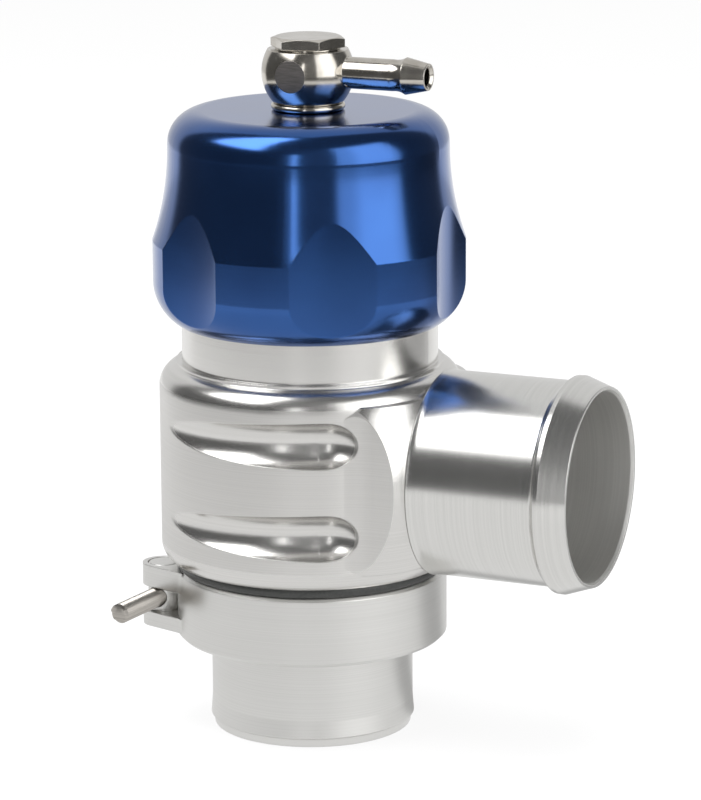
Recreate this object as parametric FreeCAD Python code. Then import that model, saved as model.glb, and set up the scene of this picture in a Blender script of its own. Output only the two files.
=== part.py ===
import FreeCAD
import Part
import math
import os

# Blow off valve with an adjusting cap, a side outlet and a clamped inlet flange.
# Millimetres. +Z runs up the valve axis, +X along the outlet, and the origin is the
# centre of the inlet tube's lower rim, on which the valve stands.

# Hose sizes and walls
hose_r = 19.0               # outside radius of both hose tubes
tube_wall = 2.0             # wall of the inlet tube
seat_gap = 0.05             # space left between faces that seat on each other
run_gap = 0.05              # radial clearance of a sliding or turning fit

# Valve body
body_r = 28.17
body_low_z = 32.5           # underside of the body
body_low_round = 3.8
body_low_r = 26.4           # edge of the underside
shoulder_z = 65.6           # where the top rounding starts
shoulder_round = 4.15
ring_r = 24.9               # small step at the foot of the neck
ring_low_z = 69.55
ring_top_z = 70.3
neck_r = 23.88
neck_top_z = 92.0
neck_edge = 0.6
bore_r = 20.0               # the piston runs in this bore
bore_low_z = 65.5
air_room = 1.75             # air space round the piston, past the mouth and the bore
cavity_low_z = 36.0
mouth_cone = 1.5

# Joint between body and inlet flange
joint_z = 24.0              # where the two lips meet
lip_reach = 1.35            # the lips stand this far out of the tubes behind them
lip_edge = 1.7              # upright part of each lip
lip_cone = 1.6              # height of each lip's sloping back
spigot_wall = 1.1           # body's lower end behind its lip

# Outlet
outlet_z = 50.85
boss_r = 26.8               # turned form round the outlet axis
boss_round = 15.2
boss_round_x = 14.0
boss_half_width = 21.1      # flats on both sides of the boss
boss_corner_r = 10.0        # hollow corner between a flat and the body
boss_low_z = 35.2
boss_top_z = 66.7
boss_face_x = 27.2          # the spout's shoulder seats here
port_r = 16.0               # threaded port in the body
spout_wall = 1.6
spout_end_x = 57.8
spout_bore_r = 17.6
lip_bore_r = 17.85
lip_outer_r = 18.45
bead_r = 20.1
bead_start_x = 51.0
bead_top_x = 52.15
bead_end_x = 53.0
root_ring_r = 19.2          # raised ring where the spout meets the body
root_ring_len = 1.3
spigot_len = 5.5
spigot_bore_r = 14.4
spout_oring_r = 0.9

# Grooves milled in both sides of the body
groove_z = 51.25            # height half way between the two grooves
groove_pitch = 17.25
groove_half_height = 4.45
groove_shift_x = -3.0       # the groove's path is a circle about this point
groove_floor_r = 26.2
groove_run_deg = 46.0       # the cutter leaves the body on the closed side
groove_end_deg = 33.0       # it stops here, beside the outlet boss
groove_wheel_r = 8.0        # reach of the cutter that leaves the rounded end

# Inlet flange
rim_r = 18.6
rim_edge_r = 19.25
rim_height = 1.75
flare_z = 5.0               # the tube widens a little below this height
flange_neck_r = 19.2        # thicker tube inside the collar
seat_width = 1.4            # raised seat under the piston
seat_margin = 1.4           # from the piston's nose in to the seat
seat_height = 1.4
flange_oring_r = 0.7

# Dark sealing ring between collar and body
gap_ring_step = 0.15        # the black ring stands this far inside the collar

# Clamp collar
collar_r = 25.45
collar_low_z = 17.4
collar_top_z = 30.6
collar_edge = 0.7
collar_wall = 2.5           # ring outside the lips
collar_split = 3.0
collar_turn_deg = -5.6      # the collar is clamped a little off the outlet's line
collar_gap = 0.3            # space round the lips inside the collar
ear_low_z = 18.6
ear_top_z = 30.4
ear_r = 4.0
ear_lean_deg = 12.0         # the ear's outer side leans this far from the ear's own line
ear_blend = 3.0             # hollow rounding where the ear meets the ring
pin_step = 0.25             # the ear's axis lies this far inside the collar's radius
pin_y = 12.35
slot_low_z = 21.4
slot_top_z = 26.3
pin_r = 3.0
screw_r = 1.9
screw_z = 24.1
screw_room = 0.2            # space beside the screw where it passes the ring
screw_tip_y = -28.3
screw_head_r = 3.5
screw_head_len = 4.0
screw_socket_af = 3.0
screw_socket_depth = 2.2
washer_r = 4.4
washer_thick = 0.8
washer_recess = 0.7

# Piston
piston_wall = 1.8
piston_top_z = 79.0
piston_floor = 3.2
piston_lift = 12.0
face_seal_r = 1.3
nose_room = 0.7             # between the piston's nose and the body's mouth
band_z = 67.6
band_height = 3.0
band_depth = 1.2
cup_z = 74.0
cup_height = 3.2
cup_depth = 2.2
spring_pocket_r = 14.6

# Spring and its seat
wire_r = 1.1
coil_r = 12.4
coils = 9.0
seat_plate_r = 16.5
seat_plate_thick = 1.4
seat_spigot_r = 10.8
seat_spigot_len = 4.0
thrust_thick = 1.2
thrust_z = 106.6            # top of the thrust washer, under the cap's inner roof

# Cap
cap_r = 29.05
cap_upper_r = 26.05
cap_low_z = 77.7
cap_low_r = 24.75
cap_band_low_z = 85.4
cap_band_top_z = 93.0
cap_flare_top_z = 110.3
cap_top_z = 116.97
cap_top_r = 19.95
cap_mouth_edge = 0.5
cap_room_r = 20.6           # space above the neck
cap_room_z = 97.2           # roof above the neck
cap_room_edge = 2.0
scoops = 6
scoop_floor_r = 27.0
scoop_r = 34.0
scoop_turn_deg = 2.9
cap_oring_r = 1.1
cap_oring_z = 88.4
cap_turn_down = 3.0         # how far the cap screws down from here

# Banjo union on top
ball_r = 8.55
barb_z = 124.15              # axis of the hose barb
ball_drop = 0.2             # the ball's centre lies this far below it
ball_top_half = 4.2         # from the ball's centre up and down to its cut ends
ball_low_half = 5.6
ball_flat_y = 8.05
ball_bore_r = 4.08
ball_gallery_r = 5.2
ball_gallery_height = 4.0
stem_r = 2.9
barb_r = 3.4
barb_shoulder_x = 17.1
barb_peak_x = 19.7
barb_end_x = 24.0
barb_tip_r = 2.47
air_r = 1.7
low_washer_r = 6.85
low_washer_bore_r = 4.1
low_washer_edge = 0.6
high_washer_r = 6.0
high_washer_thick = 0.3
bolt_r = 4.0
bolt_neck_r = 3.3
bolt_air_r = 1.5
bolt_head_af = 12.1
bolt_head_height = 1.95
bolt_head_edge = 0.5
bolt_turn_deg = 11.5
bolt_end_z = 108.9

lip_r = collar_r - collar_wall
spigot_r = lip_r - lip_reach
mouth_r = spigot_r - spigot_wall    # opening at the body's lower end
cavity_r = (mouth_r + bore_r) / 2 + air_room
flange_oring_path_r = spigot_r
gap_ring_r = collar_r - gap_ring_step
pin_x = pin_step - collar_r
slot_floor_r = collar_r - pin_step
piston_r = bore_r - run_gap * 4
nose_r = min(piston_r, mouth_r - nose_room)
seat_r = nose_r - seat_margin
face_seal_path_r = seat_r - seat_width / 2
cap_bore_r = neck_r + run_gap
seat_top_z = joint_z + seat_height
piston_low_z = seat_top_z + seat_gap
spring_low_z = piston_low_z + piston_floor + seat_gap
seat_plate_z = thrust_z - thrust_thick - seat_gap - seat_plate_thick
ball_z = barb_z - ball_drop
ball_top_z = ball_z + ball_top_half
ball_low_z = ball_z - ball_low_half
washer_top_z = ball_low_z - seat_gap
head_low_z = ball_top_z + seat_gap * 2 + high_washer_thick


def at(x, y, z):
    return FreeCAD.Vector(x, y, z)


up = at(0, 0, 1)
along = at(1, 0, 0)
outlet_axis = at(0, 0, outlet_z)


class Outline:
    """A closed outline in the XZ plane, drawn from corner to corner."""

    def __init__(self, x, z):
        self.start = self.last = at(x, 0, z)
        self.edges = []

    def line(self, x, z):
        end = at(x, 0, z)
        self.edges.append(Part.makeLine(self.last, end))
        self.last = end
        return self

    # A positive radius bulges to the left of the way to the new corner.
    def arc(self, x, z, radius):
        end = at(x, 0, z)
        chord = end.sub(self.last)
        half = chord.Length / 2
        rise = abs(radius) - math.sqrt(radius * radius - half * half)
        left = at(-chord.z, 0, chord.x).normalize()
        middle = self.last.add(chord.multiply(0.5)).add(left.multiply(math.copysign(rise, radius)))
        self.edges.append(Part.Arc(self.last, middle, end).toShape())
        self.last = end
        return self

    def face(self):
        if self.last.distanceToPoint(self.start) > 1e-6:
            self.line(self.start.x, self.start.z)
        return Part.Face(Part.Wire(self.edges))

    def turned(self, centre=at(0, 0, 0), axis=up):
        return self.face().revolve(centre, axis, 360)


def rod(radius, low, high):
    return Part.makeCylinder(radius, high - low, at(0, 0, low), up)


def rod_x(radius, low, high, z=outlet_z):
    return Part.makeCylinder(radius, high - low, at(low, 0, z), along)


def pipe(outer, inner, low, high):
    return rod(outer, low, high).cut(rod(inner, low, high))


def block(x0, y0, z0, x1, y1, z1):
    return Part.makeBox(x1 - x0, y1 - y0, z1 - z0, at(x0, y0, z0))


def ring(path_r, section_r, z):
    return Part.makeTorus(path_r, section_r, at(0, 0, z), up)


def turned_about_z(shape, degrees):
    turned = shape.copy()
    turned.rotate(at(0, 0, 0), up, degrees)
    return turned


def one_solid(shape):
    clean = shape.removeSplitter()
    return clean.Solids[0] if len(clean.Solids) == 1 else clean


def prism(corners, low, high):
    points = [at(x, y, low) for x, y in corners]
    wire = Part.makePolygon(points + points[:1])
    return Part.Face(wire).extrude(at(0, 0, high - low))


def hexagon(across_flats, low, high, degrees):
    corner_r = across_flats / math.sqrt(3)
    angles = [math.radians(degrees + 60 * k) for k in range(6)]
    return prism([(corner_r * math.cos(a), corner_r * math.sin(a)) for a in angles], low, high)


def body_outside():
    lip_top = joint_z + seat_gap + lip_edge
    o = Outline(0, joint_z + seat_gap).line(lip_r, joint_z + seat_gap).line(lip_r, lip_top)
    o.line(spigot_r, lip_top + lip_cone).line(spigot_r, body_low_z).line(body_low_r, body_low_z)
    o.arc(body_r, body_low_z + 3.4, -body_low_round).line(body_r, shoulder_z)
    o.arc(ring_r + 0.2, ring_low_z, -shoulder_round).line(ring_r, ring_low_z + 0.2)
    o.line(ring_r, ring_top_z).line(neck_r, ring_top_z).line(neck_r, neck_top_z - neck_edge)
    o.line(neck_r - neck_edge, neck_top_z).line(0, neck_top_z)
    return o.turned()


def boss_corner(side):
    reach = body_r + boss_corner_r
    y = boss_half_width + boss_corner_r
    x = math.sqrt(reach * reach - y * y)
    share = body_r / reach
    corner = block(x * share - 1, 0, boss_low_z, x, y * share, boss_top_z)
    height = boss_top_z - boss_low_z
    hollow = Part.makeCylinder(boss_corner_r + 0.02, height, at(x, y, boss_low_z), up)
    corner = corner.cut(hollow)
    return corner if side > 0 else corner.mirror(at(0, 0, 0), at(0, 1, 0))


def outlet_boss():
    o = Outline(0, outlet_z).line(0, outlet_z + boss_r).line(boss_round_x, outlet_z + boss_r)
    run = boss_face_x - boss_round_x
    face_r = boss_r - boss_round + math.sqrt(boss_round * boss_round - run * run)
    o.arc(boss_face_x, outlet_z + face_r, boss_round).line(boss_face_x, outlet_z)
    form = o.turned(outlet_axis, along)
    room = block(0, -boss_half_width, boss_low_z, 2 * body_r, boss_half_width, boss_top_z)
    room = room.fuse(boss_corner(1)).fuse(boss_corner(-1)).removeSplitter()
    return form.common(room)


def side_groove(z):
    path_r = groove_floor_r + groove_half_height
    start = at(groove_shift_x, 0, z)
    sweep = groove_run_deg + groove_end_deg
    cut = Part.makeTorus(path_r, groove_half_height, start, up, -180, 180, sweep)
    cut.rotate(start, up, -90 - groove_run_deg)
    half = groove_half_height - 0.03
    core_r = groove_wheel_r - half
    o = Outline(0, -half).line(core_r, -half).arc(core_r, half, -half)
    wheel = o.line(0, half).turned()
    reach = groove_floor_r + 0.03 + groove_wheel_r
    a = math.radians(groove_end_deg - 90)
    wheel.translate(start.add(at(reach * math.cos(a), reach * math.sin(a), 0)))
    return cut, wheel


def valve_body():
    body = body_outside().fuse(outlet_boss())
    body = body.cut(block(boss_face_x, -body_r, 0, 2 * body_r, body_r, cap_top_z))
    inside = Outline(0, joint_z - 1).line(mouth_r, joint_z - 1).line(mouth_r, cavity_low_z - mouth_cone)
    inside.line(cavity_r, cavity_low_z).line(cavity_r, bore_low_z - (cavity_r - bore_r))
    inside.line(bore_r, bore_low_z).line(bore_r, neck_top_z + 1).line(0, neck_top_z + 1)
    body = body.cut(inside.turned()).cut(rod_x(port_r, 0, boss_face_x + 1))
    for k in (-0.5, 0.5):
        for cutter in side_groove(groove_z + k * groove_pitch):
            body = body.cut(cutter).cut(cutter.mirror(at(0, 0, 0), at(0, 1, 0)))
    body = body.cut(ring(neck_r, cap_oring_r, cap_oring_z))
    return one_solid(body)


def outlet_spout():
    x0 = boss_face_x + seat_gap
    thread_r = port_r - seat_gap
    o = Outline(x0 - spigot_len, outlet_z + spigot_bore_r).line(x0 - spigot_len, outlet_z + thread_r)
    o.line(x0, outlet_z + thread_r).line(x0, outlet_z + root_ring_r)
    o.arc(x0 + root_ring_len, outlet_z + hose_r, -4.0).line(bead_start_x, outlet_z + hose_r)
    o.arc(bead_top_x, outlet_z + bead_r, -1.8).line(bead_end_x, outlet_z + bead_r)
    o.line(spout_end_x, outlet_z + lip_outer_r).line(spout_end_x, outlet_z + lip_bore_r)
    o.line(spout_end_x - 0.6, outlet_z + spout_bore_r).line(x0 + 4.5, outlet_z + spout_bore_r)
    o.line(x0 + 1.5, outlet_z + spigot_bore_r)
    spout = o.turned(outlet_axis, along)
    groove = Part.makeTorus(thread_r, spout_oring_r, at(x0 - 2.2, 0, outlet_z), along)
    return one_solid(spout.cut(groove))


def spout_o_ring():
    x = boss_face_x + seat_gap - 2.2
    path_r = port_r - seat_gap
    seal = Part.makeTorus(path_r, spout_oring_r - seat_gap, at(x, 0, outlet_z), along)
    return seal.common(rod_x(port_r - seat_gap / 2, x - 2, x + 2))


def inlet_flange():
    bore = hose_r - tube_wall
    low = joint_z - lip_edge - lip_cone
    o = Outline(bore, 0).line(rim_r, 0).line(rim_r + 0.15, rim_height - 0.3)
    o.line(rim_edge_r, rim_height).line(hose_r, flare_z).line(hose_r, collar_low_z + collar_gap)
    o.line(flange_neck_r, collar_low_z + collar_gap).line(flange_neck_r, low)
    o.line(spigot_r, low).line(lip_r, joint_z - lip_edge).line(lip_r, joint_z)
    o.line(seat_r, joint_z).line(seat_r, seat_top_z).line(seat_r - seat_width, seat_top_z)
    o.line(seat_r - seat_width, joint_z).line(bore, joint_z - lip_edge)
    flange = o.turned()
    return one_solid(flange.cut(ring(flange_oring_path_r, flange_oring_r, joint_z)))


def inlet_o_ring():
    seal = ring(flange_oring_path_r, flange_oring_r - seat_gap, joint_z)
    return seal.common(rod(2 * lip_r, joint_z - 3, joint_z + seat_gap / 2))


def gap_seal_ring():
    low = collar_top_z + seat_gap
    high = body_low_z - seat_gap
    o = Outline(spigot_r + seat_gap * 2, low).line(gap_ring_r - 0.2, low)
    o.arc(gap_ring_r - 0.2, high, -1.6).line(spigot_r + seat_gap * 2, high)
    return o.turned()


def clamp_ear():
    height = ear_top_z - ear_low_z
    lean = math.radians(ear_lean_deg)
    along_x, along_y = math.cos(lean), math.sin(lean)
    side = (pin_x - ear_r * along_y, pin_y + ear_r * along_x)
    start_x = side[0] - ear_blend * along_y
    start_y = side[1] + ear_blend * along_x
    b = start_x * along_x + start_y * along_y
    c = start_x ** 2 + start_y ** 2 - (collar_r + ear_blend) ** 2
    run = -b - math.sqrt(b * b - c)
    blend = (start_x + run * along_x, start_y + run * along_y)
    touch = (side[0] + run * along_x, side[1] + run * along_y)
    near = collar_r / (collar_r + ear_blend)
    foot = (blend[0] * near, blend[1] * near)
    inner_y = pin_y - ear_r
    inner_x = -math.sqrt(collar_r ** 2 - inner_y ** 2)
    inside = [(-0.63 * collar_r, 0.59 * collar_r), (-0.79 * collar_r, 0.3 * collar_r)]
    corners = [side, touch, foot] + inside + [(inner_x, inner_y), (pin_x, inner_y)]
    ear = prism(corners, ear_low_z, ear_top_z)
    ear = ear.cut(Part.makeCylinder(ear_blend, height, at(blend[0], blend[1], ear_low_z), up))
    return ear.fuse(Part.makeCylinder(ear_r, height, at(pin_x, pin_y, ear_low_z), up))


def clamp_collar():
    o = Outline(spigot_r + 0.3, collar_top_z).line(collar_r - collar_edge, collar_top_z)
    lip_high = joint_z + lip_edge + seat_gap
    lip_low = joint_z - lip_edge
    room_r = lip_r + collar_gap
    tube_room = flange_neck_r + collar_gap
    o.line(collar_r, collar_top_z - collar_edge).line(collar_r, collar_low_z + collar_edge)
    o.line(collar_r - collar_edge, collar_low_z).line(tube_room, collar_low_z)
    o.line(tube_room, lip_low - lip_cone - seat_gap).line(spigot_r, lip_low - lip_cone - seat_gap)
    o.line(room_r, lip_low - seat_gap).line(room_r, lip_high + seat_gap)
    collar = o.line(spigot_r + 0.3, lip_high + lip_cone + seat_gap).turned()
    far = 2 * collar_r
    ear = clamp_ear().cut(rod(collar_r - 1.0, 0, far))
    slot = pipe(far, slot_floor_r, slot_low_z, slot_top_z)
    ears = ear.fuse(ear.mirror(at(0, 0, 0), at(0, 1, 0))).cut(slot)
    collar = collar.fuse(ears)
    collar = collar.cut(block(-far, -collar_split / 2, 0, 0, collar_split / 2, far))
    inner_x = pin_x + screw_r + screw_room
    collar = collar.cut(block(-far, -far, slot_low_z, inner_x, far, slot_top_z))
    hole = Part.makeCylinder(pin_r + seat_gap, far, at(pin_x, -pin_y, 0), up)
    seat_y = pin_y + ear_r - washer_recess
    recess = block(-far, seat_y, 0, pin_x + washer_r + 0.4, far, far)
    return turned_about_z(one_solid(collar.cut(hole).cut(recess)), collar_turn_deg)


def clamp_barrel_nut():
    nut = Part.makeCylinder(pin_r, ear_top_z - ear_low_z, at(pin_x, -pin_y, ear_low_z), up)
    hole = Part.makeCylinder(screw_r + seat_gap, 4 * pin_r, at(pin_x, -pin_y - 2 * pin_r, screw_z), at(0, 1, 0))
    return turned_about_z(nut.makeChamfer(0.3, nut.Edges[:1]).cut(hole), collar_turn_deg)


def clamp_screw():
    y0 = pin_y + ear_r - washer_recess + seat_gap * 2 + washer_thick
    shank = Part.makeCylinder(screw_r, y0 - screw_tip_y, at(pin_x, screw_tip_y, screw_z), at(0, 1, 0))
    shank = shank.makeChamfer(0.5, [e for e in shank.Edges if abs(e.CenterOfMass.y - screw_tip_y) < 0.01])
    head = Part.makeCylinder(screw_head_r, screw_head_len, at(pin_x, y0, screw_z), at(0, 1, 0))
    socket = hexagon(screw_socket_af, 0, screw_socket_depth + 1, 0)
    socket.rotate(at(0, 0, 0), along, -90)
    socket.translate(at(pin_x, y0 + screw_head_len - screw_socket_depth, screw_z))
    return turned_about_z(one_solid(shank.fuse(head)).cut(socket), collar_turn_deg)


def clamp_washer():
    y0 = pin_y + ear_r - washer_recess + seat_gap
    disc = Part.makeCylinder(washer_r, washer_thick, at(pin_x, y0, screw_z), at(0, 1, 0))
    hole = Part.makeCylinder(screw_r + screw_room, 3 * washer_thick, at(pin_x, y0 - washer_thick, screw_z), at(0, 1, 0))
    return turned_about_z(disc.cut(hole), collar_turn_deg)


def piston():
    low = piston_low_z
    inner = piston_r - piston_wall - band_depth
    floor = low + piston_floor
    o = Outline(0, low + 1.2).line(8, low + 1.2).line(10, low).line(nose_r - 0.6, low)
    o.line(nose_r, low + 0.6).line(nose_r, cavity_low_z).line(piston_r, cavity_low_z + 3)
    o.line(piston_r, band_z).line(piston_r - band_depth, band_z)
    o.line(piston_r - band_depth, band_z + band_height).line(piston_r, band_z + band_height)
    o.line(piston_r, cup_z).line(piston_r - cup_depth, cup_z)
    o.line(piston_r - cup_depth, cup_z + cup_height).line(piston_r, cup_z + cup_height)
    o.line(piston_r, piston_top_z - 0.5).line(piston_r - 0.5, piston_top_z).line(inner, piston_top_z)
    o.line(inner, floor + 6).line(spring_pocket_r, floor + 3).line(spring_pocket_r, floor).line(0, floor)
    crown = o.turned()
    seal_room = ring(face_seal_path_r, face_seal_r, low + face_seal_r * 0.7)
    return one_solid(crown.cut(seal_room))


def piston_face_seal():
    z = piston_low_z + face_seal_r * 0.7
    seal = ring(face_seal_path_r, face_seal_r - seat_gap, z)
    return seal.common(rod(2 * piston_r, piston_low_z - seat_gap / 2, z + 5))


def piston_guide_band():
    inner = piston_r - band_depth + seat_gap
    return pipe(bore_r - run_gap, inner, band_z + seat_gap, band_z + band_height - seat_gap)


def piston_cup_seal():
    low = cup_z + seat_gap
    high = cup_z + cup_height - seat_gap
    inner = piston_r - cup_depth + seat_gap
    outer = bore_r - run_gap
    o = Outline(inner, low).line(outer - 0.2, low).line(outer, high - 0.8).line(outer - 0.4, high)
    o.line((inner + outer) / 2 + 0.3, low + 1.3).line((inner + outer) / 2 - 0.3, low + 1.3)
    return o.line(inner, high).turned()


def main_spring():
    length = seat_plate_z - seat_gap - spring_low_z - 2 * wire_r
    pitch = length / coils
    path = Part.makeHelix(pitch, length, coil_r)
    section = Part.Wire(Part.makeCircle(wire_r, at(coil_r, 0, 0), at(0, 1, 0)))
    spring = Part.Wire(path.Edges).makePipeShell([section], True, True)
    spring.translate(at(0, 0, spring_low_z + wire_r))
    return spring


def spring_seat():
    top = seat_plate_z + seat_plate_thick
    bore = bolt_r + 1.6
    o = Outline(bore, seat_plate_z - seat_spigot_len).line(seat_spigot_r - 0.5, seat_plate_z - seat_spigot_len)
    o.line(seat_spigot_r, seat_plate_z - seat_spigot_len + 0.5).line(seat_spigot_r, seat_plate_z)
    return o.line(seat_plate_r, seat_plate_z).line(seat_plate_r, top).line(bore, top).turned()


def thrust_washer():
    return pipe(seat_plate_r, bolt_r + 1.6, thrust_z - thrust_thick, thrust_z)


def top_cap():
    drop = cap_flare_top_z - cap_band_top_z
    out = cap_r - cap_upper_r
    flare = (drop * drop + out * out) / (2 * out)
    drop = cap_band_low_z - cap_low_z
    out = cap_r - cap_low_r
    under = (drop * drop + out * out) / (2 * out)
    edge = cap_upper_r - cap_top_r
    o = Outline(cap_bore_r + cap_mouth_edge, cap_low_z).line(cap_low_r, cap_low_z)
    o.arc(cap_r, cap_band_low_z, -under).line(cap_r, cap_band_top_z)
    o.arc(cap_upper_r, cap_flare_top_z, flare).line(cap_upper_r, cap_top_z - edge)
    o.arc(cap_top_r, cap_top_z, -edge).line(0, cap_top_z)
    o.line(0, thrust_z + seat_gap).line(seat_plate_r + 0.4, thrust_z + seat_gap)
    o.line(seat_plate_r + 0.4, cap_room_z + 3).line(cap_room_r, cap_room_z)
    o.line(cap_bore_r, cap_room_z).line(cap_bore_r, cap_low_z + cap_mouth_edge)
    cap = o.turned()
    for k in range(scoops):
        a = math.radians(scoop_turn_deg + 360 * k / scoops)
        reach = scoop_floor_r + scoop_r
        spot = at(reach * math.cos(a), reach * math.sin(a), cap_low_z - 5)
        cap = cap.cut(Part.makeCylinder(scoop_r, 2 * cap_r, spot, up))
    cap = cap.cut(rod(bolt_r + seat_gap, thrust_z - 1, cap_top_z + 1))
    return one_solid(cap)


def cap_o_ring():
    seal = ring(neck_r, cap_oring_r - seat_gap, cap_oring_z)
    return seal.common(rod(cap_bore_r - run_gap / 2, cap_oring_z - 3, cap_oring_z + 3))


def banjo_fitting():
    far = 2 * ball_r
    ball = Part.makeSphere(ball_r, at(0, 0, ball_z), up)
    ball = ball.common(block(-far, -ball_flat_y, ball_low_z, far, ball_flat_y, ball_top_z))
    o = Outline(0, barb_z).line(0, barb_z + stem_r).line(barb_shoulder_x, barb_z + stem_r)
    o.arc(barb_peak_x, barb_z + barb_r, -4.0).line(barb_end_x, barb_z + barb_tip_r)
    o.line(barb_end_x, barb_z + air_r + 0.45).line(barb_end_x - 0.5, barb_z + air_r).line(0, barb_z + air_r)
    barb = o.line(0, barb_z).turned(at(0, 0, barb_z), along)
    union = ball.fuse(Part.makeCylinder(stem_r, barb_shoulder_x, at(0, 0, barb_z), along)).fuse(barb)
    union = union.cut(rod(ball_bore_r, ball_z - far, ball_z + far))
    half = ball_gallery_height / 2
    union = union.cut(rod(ball_gallery_r, barb_z - half, barb_z + half))
    return one_solid(union.cut(rod_x(air_r, 0, barb_end_x + 1, barb_z)))


def banjo_washer_lower():
    low = cap_top_z + seat_gap
    edge_r = low_washer_r - low_washer_edge
    o = Outline(low_washer_bore_r, low).line(edge_r, low).arc(low_washer_r, low + low_washer_edge, -low_washer_edge)
    o.line(low_washer_r, washer_top_z - low_washer_edge).arc(edge_r, washer_top_z, -low_washer_edge)
    return o.line(low_washer_bore_r, washer_top_z).turned()


def banjo_washer_upper():
    return pipe(high_washer_r, low_washer_bore_r, ball_top_z + seat_gap, ball_top_z + seat_gap + high_washer_thick)


def banjo_bolt():
    head_top = head_low_z + bolt_head_height
    head = hexagon(bolt_head_af, head_low_z, head_top, bolt_turn_deg)
    corner_r = bolt_head_af / math.sqrt(3)
    o = Outline(0, head_low_z).line(corner_r + 0.1, head_low_z)
    o.line(corner_r + 0.1, head_top - bolt_head_edge).line(bolt_head_af / 2 - 0.2, head_top).line(0, head_top)
    head = head.common(o.turned())
    shank = rod(bolt_r, bolt_end_z, head_low_z)
    waist = pipe(bolt_r + 1, bolt_neck_r, barb_z - 2, barb_z + 2)
    bolt = one_solid(head.fuse(shank)).cut(waist)
    bolt = bolt.cut(rod(bolt_air_r, bolt_end_z - 1, barb_z + 1))
    return bolt.cut(Part.makeCylinder(bolt_air_r, 4 * bolt_r, at(-2 * bolt_r, 0, barb_z), along))


nodes = [valve_body, outlet_spout, spout_o_ring, inlet_flange, inlet_o_ring, gap_seal_ring,
         clamp_collar, clamp_barrel_nut, clamp_screw, clamp_washer, piston, piston_face_seal,
         piston_guide_band, piston_cup_seal, main_spring, spring_seat, thrust_washer, top_cap,
         cap_o_ring, banjo_fitting, banjo_washer_lower, banjo_washer_upper, banjo_bolt]

os.makedirs("parts", exist_ok=True)
for make in nodes:
    shape = make()
    print(make.__name__, len(shape.Solids), "solid", shape.isValid(), round(shape.Volume, 1))
    shape.exportStep("parts/" + make.__name__ + ".step")
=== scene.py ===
import math

import bpy
from mathutils import Matrix, Vector


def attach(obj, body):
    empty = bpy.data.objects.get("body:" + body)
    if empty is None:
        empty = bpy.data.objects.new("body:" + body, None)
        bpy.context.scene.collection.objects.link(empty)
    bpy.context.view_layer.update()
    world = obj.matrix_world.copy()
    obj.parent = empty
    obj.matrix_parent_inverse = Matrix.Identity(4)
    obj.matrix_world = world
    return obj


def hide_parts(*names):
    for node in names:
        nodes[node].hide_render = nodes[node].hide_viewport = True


# Looks of the blow off valve: finishes, the clamp screw's thread, lights and camera. Metres.

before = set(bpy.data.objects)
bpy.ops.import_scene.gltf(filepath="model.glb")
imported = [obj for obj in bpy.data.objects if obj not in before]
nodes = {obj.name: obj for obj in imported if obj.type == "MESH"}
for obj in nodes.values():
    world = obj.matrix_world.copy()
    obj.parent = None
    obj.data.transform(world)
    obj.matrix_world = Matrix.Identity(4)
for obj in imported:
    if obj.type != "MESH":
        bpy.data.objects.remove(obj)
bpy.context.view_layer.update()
print("stage: frame loaded,", len(nodes), "nodes")

outletHeight = 0.05085
clampTurn = -5.6        # degrees, the clamp sits a little off the outlet's line
bumpDepth = 0.00003     # height of a bump at full strength
uneven = (0.3, 0.7)     # between these values a noise goes from one tone to the other
closeBy = 0.00002       # points this near to an end belong to it


class Wire:
    def __init__(self, tree, socket):
        self.tree = tree
        self.socket = socket

    def maths(self, operation, other, flipped=False):
        node = self.tree.nodes.new("ShaderNodeMath")
        node.operation = operation
        pair = (other, self) if flipped else (self, other)
        for slot, item in zip(node.inputs, pair):
            if isinstance(item, Wire):
                self.tree.links.new(item.socket, slot)
            else:
                slot.default_value = item
        return Wire(self.tree, node.outputs[0])

    def __add__(self, other):
        return self.maths("ADD", other)

    def __sub__(self, other):
        return self.maths("SUBTRACT", other)

    def __rsub__(self, other):
        return self.maths("SUBTRACT", other, True)

    def __mul__(self, other):
        return self.maths("MULTIPLY", other)

    def __gt__(self, other):
        return self.maths("GREATER_THAN", other)

    def __lt__(self, other):
        return self.maths("LESS_THAN", other)

    def step(self, low, high):          # 0 below low, 1 above high, smooth between
        node = self.tree.nodes.new("ShaderNodeMapRange")
        node.interpolation_type = "SMOOTHSTEP"
        node.inputs["From Min"].default_value = low
        node.inputs["From Max"].default_value = high
        self.tree.links.new(self.socket, node.inputs["Value"])
        return Wire(self.tree, node.outputs["Result"])

    __radd__ = __add__
    __rmul__ = __mul__


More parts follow.
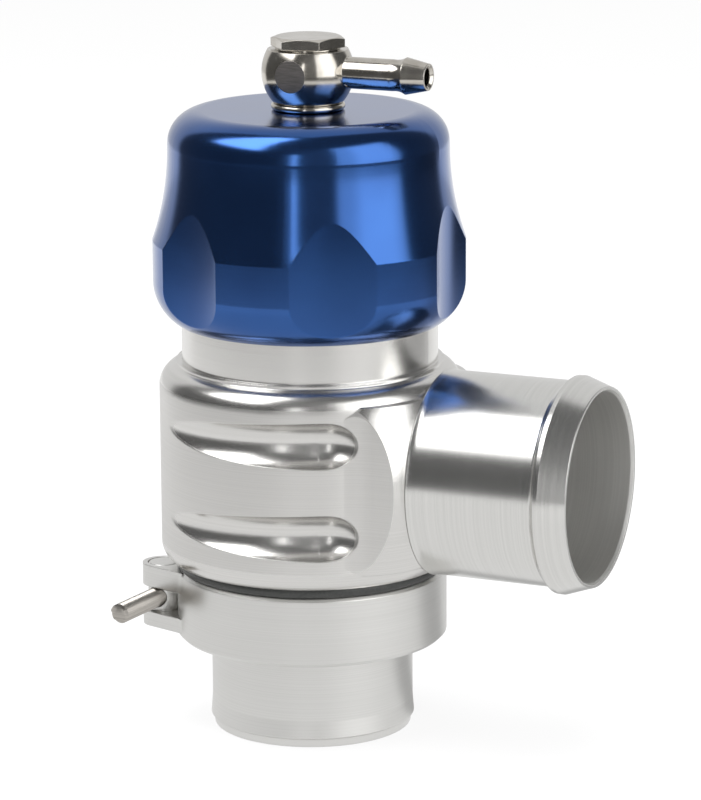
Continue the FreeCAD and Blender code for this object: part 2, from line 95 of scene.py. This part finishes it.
class Finish:
    def __init__(self, name):
        self.material = bpy.data.materials.new(name)
        self.material.use_nodes = True
        self.tree = self.material.node_tree
        self.tree.nodes.clear()
        self.place = self.node("ShaderNodeTexCoord", out="Object")
        split = self.node("ShaderNodeSeparateXYZ", {"Vector": self.place}, out=None)
        self.x, self.y, self.z = (Wire(self.tree, socket) for socket in split.outputs)

    def node(self, kind, sockets=None, settings=None, out=0):
        node = self.tree.nodes.new(kind)
        for key, value in (settings or {}).items():
            setattr(node, key, value)
        for key, value in (sockets or {}).items():
            if isinstance(value, Wire):
                self.tree.links.new(value.socket, node.inputs[key])
            else:
                node.inputs[key].default_value = value
        return node if out is None else Wire(self.tree, node.outputs[out])

    def noise(self, stretch, detail=2.0):
        where = self.node("ShaderNodeMapping", {"Vector": self.place, "Scale": stretch})
        return self.node("ShaderNodeTexNoise", {"Vector": where, "Scale": 1.0, "Detail": detail})

    def grain(self, fineness):          # noise of the same fineness every way
        return self.noise((fineness, fineness, fineness))

    def blend(self, amount, low, high):
        return self.node("ShaderNodeMix", {0: amount, 6: low, 7: high}, {"data_type": "RGBA"}, out=2)

    def radius(self):                   # distance from the valve's axis
        return self.maths("SQRT", self.x * self.x + self.y * self.y)

    def maths(self, operation, value):
        return self.node("ShaderNodeMath", {0: value}, {"operation": operation})

    def rounded(self, width):           # soft light on sharp edges
        return self.node("ShaderNodeBevel", {"Radius": width}, {"samples": 6})

    def bump(self, height, strength, normal=None):
        sockets = {"Height": height, "Strength": strength, "Distance": bumpDepth}
        if normal:
            sockets["Normal"] = normal
        return self.node("ShaderNodeBump", sockets)

    def surface(self, **sockets):
        named = {key.replace("_", " "): value for key, value in sockets.items()}
        return self.closed(self.node("ShaderNodeBsdfPrincipled", named))

    def closed(self, shader):
        self.node("ShaderNodeOutputMaterial", {"Surface": shader}, out=None)
        return self.material


# Turned metals. The noise is stretched round the lathe's axis, so it shows as fine lines.
def turnedMetal(name, look, axis="z"):
    finish = Finish(name)
    fine = (look["across"], look["across"], look["lines"])
    if axis == "x":
        fine = (look["lines"], look["across"], look["across"])
    lines = finish.noise(fine)
    cloud = finish.grain(look["clouds"])
    tone = finish.blend(lines.step(*uneven), look["dark"], look["light"])
    rough = look["rough"] + (lines - 0.5) * look["roughLines"] + (cloud - 0.5) * look["roughCloud"]
    if look["inner"]:                   # the bore is left rougher than the outside
        aside = finish.z - outletHeight
        reach = finish.maths("SQRT", finish.y * finish.y + aside * aside)
        rough = rough + (reach < look["inner"]) * look["innerRough"]
    normal = finish.bump(lines, look["depth"], finish.rounded(look["edge"]))
    return finish.surface(Base_Color=tone, Metallic=1.0, Roughness=rough, Normal=normal)


bare = {"dark": (0.715, 0.710, 0.690, 1), "light": (0.755, 0.750, 0.730, 1), "rough": 0.32,
        "roughLines": 0.02, "roughCloud": 0.06, "lines": 5000, "across": 8, "clouds": 90, "depth": 0.012,
        "edge": 0.00025, "inner": 0, "innerRough": 0}
spoutLook = dict(bare, rough=0.22, lines=4000, depth=0.006, inner=0.0180, innerRough=0.30)
pistonLook = dict(bare, rough=0.35, dark=(0.55, 0.55, 0.55, 1), light=(0.66, 0.66, 0.66, 1))
steelLook = dict(bare, rough=0.26, dark=(0.40, 0.38, 0.35, 1), light=(0.54, 0.51, 0.47, 1), lines=3000)
threadLook = dict(steelLook, rough=0.32, edge=0.00003)

satin = turnedMetal("satinAluminium", bare)
spoutMetal = turnedMetal("spoutAluminium", spoutLook, "x")
pistonMetal = turnedMetal("pistonAluminium", pistonLook)
steel = turnedMetal("plainSteel", steelLook)
threadSteel = turnedMetal("threadSteel", threadLook)


# The body's wall and the boss's flats are bead blasted, its shoulders, neck and grooves are turned.
body = {"wall": 0.02817, "flat": 0.02105, "reach": 0.00015, "matteLow": 0.0357, "matteHigh": 0.0666,
        "matteEdge": 0.0003, "rough": 0.25, "matteRough": 0.38, "roughCloud": 0.06,
        "dark": (0.720, 0.710, 0.690, 1), "light": (0.760, 0.750, 0.730, 1), "lines": (8, 8, 5000),
        "blasted": 7000, "clouds": 70, "lineDepth": 0.25, "depth": 0.05, "edge": 0.0003}


def bodyMetal():
    finish = Finish("bodyAluminium")
    lines = finish.noise(body["lines"])
    grain = finish.grain(body["blasted"])
    cloud = finish.grain(body["clouds"])
    radius = finish.radius()
    onWall = radius < body["wall"] + body["reach"]
    onFlat = finish.maths("ABSOLUTE", finish.y) > body["flat"]
    matte = (radius > body["wall"] - body["reach"]) * (onWall + onFlat > 0.5)
    matte = matte * finish.z.step(body["matteLow"], body["matteLow"] + body["matteEdge"])
    matte = matte * (1 - finish.z.step(body["matteHigh"] - body["matteEdge"], body["matteHigh"]))
    tone = finish.blend(lines.step(*uneven), body["dark"], body["light"])
    rougher = body["matteRough"] - body["rough"]
    rough = body["rough"] + matte * rougher + (cloud - 0.5) * body["roughCloud"]
    height = lines * (1 - matte) * body["lineDepth"] + grain * matte
    normal = finish.bump(height, body["depth"], finish.rounded(body["edge"]))
    return finish.surface(Base_Color=tone, Metallic=1.0, Roughness=rough, Normal=normal)


cap = {"deep": (0.024, 0.090, 0.305, 1), "bright": (0.030, 0.108, 0.350, 1), "rough": 0.17,
       "roughLines": 0.05, "roughCloud": 0.04, "lines": (8, 8, 5000), "clouds": 60, "depth": 0.03,
       "edge": 0.0003, "coat": 0.4, "coatRough": 0.14}


def capMetal():
    finish = Finish("blueAnodised")
    lines = finish.noise(cap["lines"])
    cloud = finish.grain(cap["clouds"])
    tone = finish.blend(cloud.step(*uneven), cap["deep"], cap["bright"])
    rough = cap["rough"] + (lines - 0.5) * cap["roughLines"] + (cloud - 0.5) * cap["roughCloud"]
    normal = finish.bump(lines, cap["depth"], finish.rounded(cap["edge"]))
    return finish.surface(Base_Color=tone, Metallic=1.0, Roughness=rough, Normal=normal,
                          Coat_Weight=cap["coat"], Coat_Roughness=cap["coatRough"])


# The banjo's two sides are sawn flat and stay darker than the plated ball.
nickel = {"warm": (0.50, 0.47, 0.42, 1), "pale": (0.62, 0.59, 0.54, 1), "rough": 0.16, "roughCloud": 0.08,
          "sawn": (0.22, 0.205, 0.19, 1), "sawnPale": (0.30, 0.28, 0.26, 1), "sawnRough": 0.32,
          "flatY": 0.00800, "flatEdge": 0.00003, "clouds": 300, "scratches": (400, 400, 5000),
          "scratchDetail": 3.0, "depth": 0.08, "edge": 0.0002}


def nickelPlate():
    finish = Finish("nickelPlate")
    cloud = finish.grain(nickel["clouds"])
    scratch = finish.noise(nickel["scratches"], nickel["scratchDetail"])
    side = finish.maths("ABSOLUTE", finish.y)
    sawn = side.step(nickel["flatY"], nickel["flatY"] + nickel["flatEdge"])
    tone = finish.blend(cloud.step(*uneven), nickel["warm"], nickel["pale"])
    worn = finish.blend(scratch.step(*uneven), nickel["sawn"], nickel["sawnPale"])
    tone = finish.blend(sawn, tone, worn)
    rough = nickel["rough"] + (cloud - 0.5) * nickel["roughCloud"] + sawn * nickel["sawnRough"]
    normal = finish.bump(scratch, nickel["depth"], finish.rounded(nickel["edge"]))
    return finish.surface(Base_Color=tone, Metallic=1.0, Roughness=rough, Normal=normal)


seals = {"black": (0.018, 0.019, 0.018, 1), "grey": (0.032, 0.033, 0.031, 1), "fineness": 3000,
         "rough": 0.36, "roughGrain": 0.2, "depth": 0.1}


def softBlack():
    finish = Finish("blackRubber")
    grain = finish.grain(seals["fineness"])
    tone = finish.blend(grain.step(*uneven), seals["black"], seals["grey"])
    rough = seals["rough"] + (grain - 0.5) * seals["roughGrain"]
    return finish.surface(Base_Color=tone, Roughness=rough, Normal=finish.bump(grain, seals["depth"]))


band = {"dark": (0.36, 0.33, 0.27, 1), "light": (0.46, 0.43, 0.36, 1), "fineness": 900, "rough": 0.5,
        "roughGrain": 0.1}


def bandPlastic():
    finish = Finish("bandPlastic")
    grain = finish.grain(band["fineness"])
    tone = finish.blend(grain.step(*uneven), band["dark"], band["light"])
    return finish.surface(Base_Color=tone, Roughness=band["rough"] + (grain - 0.5) * band["roughGrain"])


bodyAluminium = bodyMetal()
blueAnodised = capMetal()
nickelMetal = nickelPlate()
rubber = softBlack()
plastic = bandPlastic()

wear = {"valve_body": bodyAluminium, "outlet_spout": spoutMetal, "spout_o_ring": rubber,
        "inlet_flange": satin, "inlet_o_ring": rubber, "gap_seal_ring": rubber, "clamp_collar": satin,
        "clamp_barrel_nut": satin, "clamp_screw": steel, "clamp_washer": steel, "piston": pistonMetal,
        "piston_face_seal": rubber, "piston_guide_band": plastic, "piston_cup_seal": rubber,
        "main_spring": steel, "spring_seat": steel, "thrust_washer": plastic, "top_cap": blueAnodised,
        "cap_o_ring": rubber, "banjo_fitting": nickelMetal, "banjo_washer_lower": nickelMetal,
        "banjo_washer_upper": nickelMetal, "banjo_bolt": nickelMetal}
for name, material in wear.items():
    nodes[name].data.materials.clear()
    nodes[name].data.materials.append(material)
print("stage: finishes on", len(wear), "nodes")


# The clamp screw gets its fine thread here; along Z first, tip at 0, then laid in its place.
clampScrew = {"x": -0.0252, "tipY": -0.0283, "seatY": 0.01655, "z": 0.0241, "root": 0.00157,
              "crest": 0.00189, "pitch": 0.0007, "threaded": 0.0260, "shank": 0.00180, "head": 0.0035,
              "headLength": 0.0040, "socketCorner": 0.001732, "socketDepth": 0.0022, "tip": 0.00155,
              "turnSteps": 24, "wasteTurns": 1.5, "spareTurns": 4, "weld": 0.000002, "lap": 0.0004,
              "headSides": 64, "headEdge": 0.00035, "edgeSteps": 3, "sharpAngle": 28}


def deselectAll():
    if bpy.context.object and bpy.context.object.mode != "OBJECT":
        bpy.ops.object.mode_set(mode="OBJECT")
    bpy.ops.object.select_all(action="DESELECT")


def clearPicks(kind):
    bpy.ops.object.mode_set(mode="EDIT")
    bpy.ops.mesh.select_mode(type=kind)
    bpy.ops.mesh.select_all(action="DESELECT")
    bpy.ops.object.mode_set(mode="OBJECT")


def pickFaces(piece, wanted):
    clearPicks("FACE")
    for face in piece.data.polygons:
        face.select = wanted(face)
    bpy.ops.object.mode_set(mode="EDIT")


def pickEdges(piece, wanted):
    clearPicks("EDGE")
    for edge in piece.data.edges:
        edge.select = wanted([piece.data.vertices[k].co for k in edge.vertices])
    bpy.ops.object.mode_set(mode="EDIT")


def pickPoints(piece, wanted):
    clearPicks("VERT")
    for vertex in piece.data.vertices:
        vertex.select = wanted(vertex.co)
    bpy.ops.object.mode_set(mode="EDIT")


def cutBy(piece, tool):
    change = piece.modifiers.new("cut", "BOOLEAN")
    change.operation = "DIFFERENCE"
    change.solver = "EXACT"
    change.object = tool
    deselectAll()
    bpy.context.view_layer.objects.active = piece
    bpy.ops.object.modifier_apply(modifier=change.name)
    bpy.data.objects.remove(tool)


# One flank up and one down, wound round the axis, then sawn off level at both ends.
def threadRod():
    size = clampScrew
    deselectAll()
    half = size["pitch"] / 2
    middle = size["root"] - half
    bpy.ops.mesh.primitive_plane_add(size=size["pitch"], rotation=(math.pi / 2, 0, 0),
                                     location=(middle, 0, 0))
    rod = bpy.context.object
    bpy.ops.object.transform_apply(location=True, rotation=True, scale=True)
    pickPoints(rod, lambda point: point.x < middle)
    bpy.ops.mesh.delete(type="VERT")
    bpy.ops.mesh.select_all(action="SELECT")
    bpy.ops.mesh.subdivide(number_cuts=1)
    pickPoints(rod, lambda point: abs(point.z) < half / 2)
    bpy.ops.transform.translate(value=(size["crest"] - size["root"], 0, 0))
    bpy.ops.object.mode_set(mode="OBJECT")
    wind = rod.modifiers.new("wind", "SCREW")
    wind.axis = "Z"
    wind.screw_offset = size["pitch"]
    wind.iterations = int(size["threaded"] / size["pitch"]) + size["spareTurns"]
    wind.steps = wind.render_steps = size["turnSteps"]
    bpy.ops.object.modifier_apply(modifier=wind.name)
    bpy.ops.object.mode_set(mode="EDIT")
    bpy.ops.mesh.select_all(action="SELECT")
    bpy.ops.mesh.remove_doubles(threshold=size["weld"])
    low = size["wasteTurns"] * size["pitch"]
    high = low + size["threaded"]
    for height, side in ((low, {"clear_inner": True}), (high, {"clear_outer": True})):
        bpy.ops.mesh.select_all(action="SELECT")
        bpy.ops.mesh.bisect(plane_co=(0, 0, height), plane_no=(0, 0, 1), use_fill=True, **side)
    bpy.ops.mesh.select_all(action="SELECT")
    bpy.ops.mesh.normals_make_consistent(inside=False)
    bpy.ops.transform.translate(value=(0, 0, -low))
    pickPoints(rod, lambda point: point.z < closeBy)
    narrow = size["tip"] / size["crest"]
    bpy.ops.transform.resize(value=(narrow, narrow, 1), center_override=(0, 0, 0))
    bpy.ops.object.mode_set(mode="OBJECT")
    print("stage: thread", len(rod.data.vertices), "points")
    return rod


def screwHead():
    size = clampScrew
    seat = size["seatY"] - size["tipY"]
    top = seat + size["headLength"]
    deselectAll()
    bpy.ops.mesh.primitive_cylinder_add(vertices=size["headSides"], radius=size["head"],
                                        depth=size["headLength"],
                                        location=(0, 0, seat + size["headLength"] / 2))
    head = bpy.context.object
    bpy.ops.object.transform_apply(location=True, rotation=True, scale=True)
    pickEdges(head, lambda ends: all(end.z > top - closeBy for end in ends))
    bpy.ops.mesh.bevel(offset=size["headEdge"], segments=size["edgeSteps"])
    pickFaces(head, lambda face: face.normal.z < -0.9)      # the underside
    bpy.ops.mesh.inset(thickness=size["head"] - size["shank"])
    shankEnd = size["threaded"] - size["lap"]
    bpy.ops.mesh.extrude_region_move(TRANSFORM_OT_translate={"value": (0, 0, shankEnd - seat)})
    bpy.ops.object.mode_set(mode="OBJECT")
    deselectAll()
    bpy.ops.mesh.primitive_cylinder_add(vertices=6, radius=size["socketCorner"],
                                        depth=2 * size["socketDepth"], location=(0, 0, top))
    cutBy(head, bpy.context.object)
    return head


def threadedScrew():
    rod = threadRod()
    head = screwHead()
    deselectAll()
    rod.select_set(True)
    head.select_set(True)
    bpy.context.view_layer.objects.active = rod
    bpy.ops.object.join()
    rod.name = "clamp_screw_threaded"
    place = Matrix.Translation((clampScrew["x"], clampScrew["tipY"], clampScrew["z"]))
    laid = place @ Matrix.Rotation(-math.pi / 2, 4, "X")
    rod.matrix_world = Matrix.Rotation(math.radians(clampTurn), 4, "Z") @ laid
    bpy.ops.object.transform_apply(location=True, rotation=True, scale=True)
    bpy.ops.object.shade_smooth_by_angle(angle=math.radians(clampScrew["sharpAngle"]))
    rod.data.materials.clear()
    rod.data.materials.append(threadSteel)
    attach(rod, "housing")
    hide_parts("clamp_screw")
    print("stage: threaded screw,", len(rod.data.polygons), "faces")


threadedScrew()


# The photograph's camera. Angles are in degrees: azimuth from -Y towards +X, elevation up from level.
view = {"azimuth": 24.38, "elevation": 13.47, "distance": 0.750, "target": (0, 0, 0.060), "roll": 0.45,
        "lens": 180.39, "shift": (0.0499, 0.01283), "nearest": 0.01}


def placeCamera():
    turn, lift, roll = (math.radians(view[key]) for key in ("azimuth", "elevation", "roll"))
    back = Vector((math.sin(turn) * math.cos(lift), -math.cos(turn) * math.cos(lift), math.sin(lift)))
    right = Vector((math.cos(turn), math.sin(turn), 0))
    above = back.cross(right)
    across = right * math.cos(roll) - above * math.sin(roll)
    upward = right * math.sin(roll) + above * math.cos(roll)
    data = bpy.data.cameras.new("camera")
    data.lens = view["lens"]
    data.shift_x, data.shift_y = view["shift"]
    data.clip_start = view["nearest"]
    camera = bpy.data.objects.new("camera", data)
    bpy.context.scene.collection.objects.link(camera)
    camera.matrix_world = Matrix((across, upward, back)).transposed().to_4x4()
    camera.location = Vector(view["target"]) + back * view["distance"]
    bpy.context.scene.camera = camera


placeCamera()

# The studio as the metal sees it. Angles are in degrees: round the valve from the camera's side,
# to the right, and up from the table. Each card: angle low, high, rise low, high, softness, strength.
room = {"turn": -65.6, "plain": 0.11, "radius": 0.9, "height": 0.06, "table": 0.85, "tableFar": 1.02,
        "tableFade": (0.12, 0.36), "tableEdge": 0.435, "edgeSoft": 0.018, "back": 128, "backSoft": 4,
        "backTone": 0.75, "side": (94, 128, 8), "sideShade": 0.45, "white": 0.9,
        "floorTone": (0.8, 0.8, 0.8, 1), "floorSize": 6.0, "floorDrop": 0.0002,
        "cards": [(-180, 180, 36, 95, 12, 0.14), (-18, 18, -12, 45, 6, 0.22), (22, 78, -8, 48, 3, 1.7),
                  (38, 72, -8, 48, 6, 2.4), (-98, -44, 38, 82, 5, 4.8), (-13.6, -9.6, -4, 30, 2.0, 3.5)]}


def steepness(finish, rise, run):       # in degrees
    return finish.node("ShaderNodeMath", {0: rise, 1: run}, {"operation": "ARCTAN2"}) * math.degrees(1)


def bearing(finish):                    # angle from the camera's side, and distance from the axis
    turn = math.radians(room["turn"])
    ahead = finish.x * math.cos(turn) + finish.y * math.sin(turn)
    aside = finish.y * math.cos(turn) - finish.x * math.sin(turn)
    return steepness(finish, aside, ahead), finish.radius()


def within(value, low, high, soft):
    return value.step(low - soft, low + soft) * (1 - value.step(high - soft, high + soft))


def behind(finish, angle):              # 1 on the side away from the camera
    turned = finish.maths("ABSOLUTE", angle)
    return turned.step(room["back"] - room["backSoft"], room["back"] + room["backSoft"])


def glow(finish, tone):
    grey = finish.node("ShaderNodeCombineColor", {"Red": tone, "Green": tone, "Blue": tone})
    return finish.node("ShaderNodeEmission", {"Color": grey, "Strength": 1.0})


def rayKinds(tree):                     # rays from the camera, off gloss and through glass
    paths = tree.nodes.new("ShaderNodeLightPath")
    kinds = ("Is Camera Ray", "Is Glossy Ray", "Is Transmission Ray")
    return [Wire(tree, paths.outputs[kind]) for kind in kinds]


# Only glossy rays meet the tent: the metal mirrors its cards, and it lights nothing else.
def lightTent():
    deselectAll()
    bpy.ops.mesh.primitive_uv_sphere_add(segments=96, ring_count=48, radius=room["radius"])
    tent = bpy.context.object
    tent.name = "lightTent"
    finish = Finish("tentCloth")
    angle, reach = bearing(finish)
    lift = steepness(finish, finish.z - room["height"], reach)
    tone = room["plain"]
    for low, high, under, over, soft, strength in room["cards"]:
        mask = within(lift, under, over, soft)
        if high - low < 360:            # a card that doesn't go all the way round
            mask = mask * within(angle, low, high, soft)
        tone = tone * (1 - mask) + mask * strength
    away = behind(finish, angle)
    tone = tone * (1 - away) + away * room["backTone"]
    tent.data.materials.append(finish.closed(glow(finish, tone)))
    tent.visible_camera = False
    tent.visible_diffuse = False
    tent.visible_shadow = False
    tent.visible_transmission = False


# The camera sees the floor nearly white with a soft shadow.
# The metal mirrors a table that ends in the dark.
def paleFloor():
    deselectAll()
    bpy.ops.mesh.primitive_plane_add(size=room["floorSize"], location=(0, 0, -room["floorDrop"]))
    floor = bpy.context.object
    floor.name = "floor"
    finish = Finish("paleFloor")
    angle, reach = bearing(finish)
    camera, glossy, through = rayKinds(finish.tree)
    past = reach.step(room["tableEdge"] - room["edgeSoft"], room["tableEdge"] + room["edgeSoft"])
    edge = past * (1 - behind(finish, angle))
    side = within(angle, *room["side"]) * room["sideShade"]
    table = reach.step(*room["tableFade"]) * (room["tableFar"] - room["table"]) + room["table"]
    mirrored = (edge * (room["plain"] - table) + table) * (1 - side)
    plain = finish.node("ShaderNodeBsdfDiffuse", {"Color": room["floorTone"]})
    white = finish.node("ShaderNodeEmission", {"Color": (1, 1, 1, 1), "Strength": 1.0})
    seen = finish.node("ShaderNodeMixShader", {0: (camera + through) * room["white"], 1: plain, 2: white})
    mixed = finish.node("ShaderNodeMixShader", {0: glossy, 1: seen, 2: glow(finish, mirrored)})
    floor.data.materials.append(finish.closed(mixed))


# Lamps for what isn't mirrored: size, place and power in watts, all aimed at the valve.
lampAim = (0, 0, 0.07)
lamps = {"topLamp": {"size": (0.8, 0.8), "place": (-0.1, -0.1, 0.9), "power": 22.0},
         "rightLamp": {"size": (0.25, 0.6), "place": (0.62, -0.35, 0.30), "power": 3.0},
         "leftLamp": {"size": (0.2, 0.6), "place": (-0.6, -0.5, 0.25), "power": 2.0}}


def softLamp(name, size, place, power):
    data = bpy.data.lights.new(name, "AREA")
    data.shape = "RECTANGLE"
    data.size, data.size_y = size
    data.energy = power
    lamp = bpy.data.objects.new(name, data)
    bpy.context.scene.collection.objects.link(lamp)
    lamp.location = place
    lamp.rotation_mode = "QUATERNION"
    lamp.rotation_quaternion = (Vector(lampAim) - Vector(place)).to_track_quat("-Z", "Y")
    lamp.visible_camera = False
    lamp.visible_glossy = False


lightTent()
paleFloor()
for name, lamp in lamps.items():
    softLamp(name, **lamp)

# The world is dimmer as a light than it looks.
sky = {"plain": 0.45, "seen": 1.0}


def paleWorld():
    world = bpy.data.worlds.new("paleWorld")
    bpy.context.scene.world = world
    world.use_nodes = True
    tree = world.node_tree
    tree.nodes.clear()
    camera, glossy, through = rayKinds(tree)
    seen = camera + glossy + through
    strength = tree.nodes.new("ShaderNodeMapRange")
    strength.inputs["To Min"].default_value = sky["plain"]
    strength.inputs["To Max"].default_value = sky["seen"]
    tree.links.new(seen.socket, strength.inputs["Value"])
    back = tree.nodes.new("ShaderNodeBackground")
    back.inputs["Color"].default_value = (1, 1, 1, 1)
    tree.links.new(strength.outputs["Result"], back.inputs["Strength"])
    output = tree.nodes.new("ShaderNodeOutputWorld")
    tree.links.new(back.outputs[0], output.inputs["Surface"])


paleWorld()
bpy.context.scene.view_settings.view_transform = "Standard"
print("stage: camera, floor and lamps")
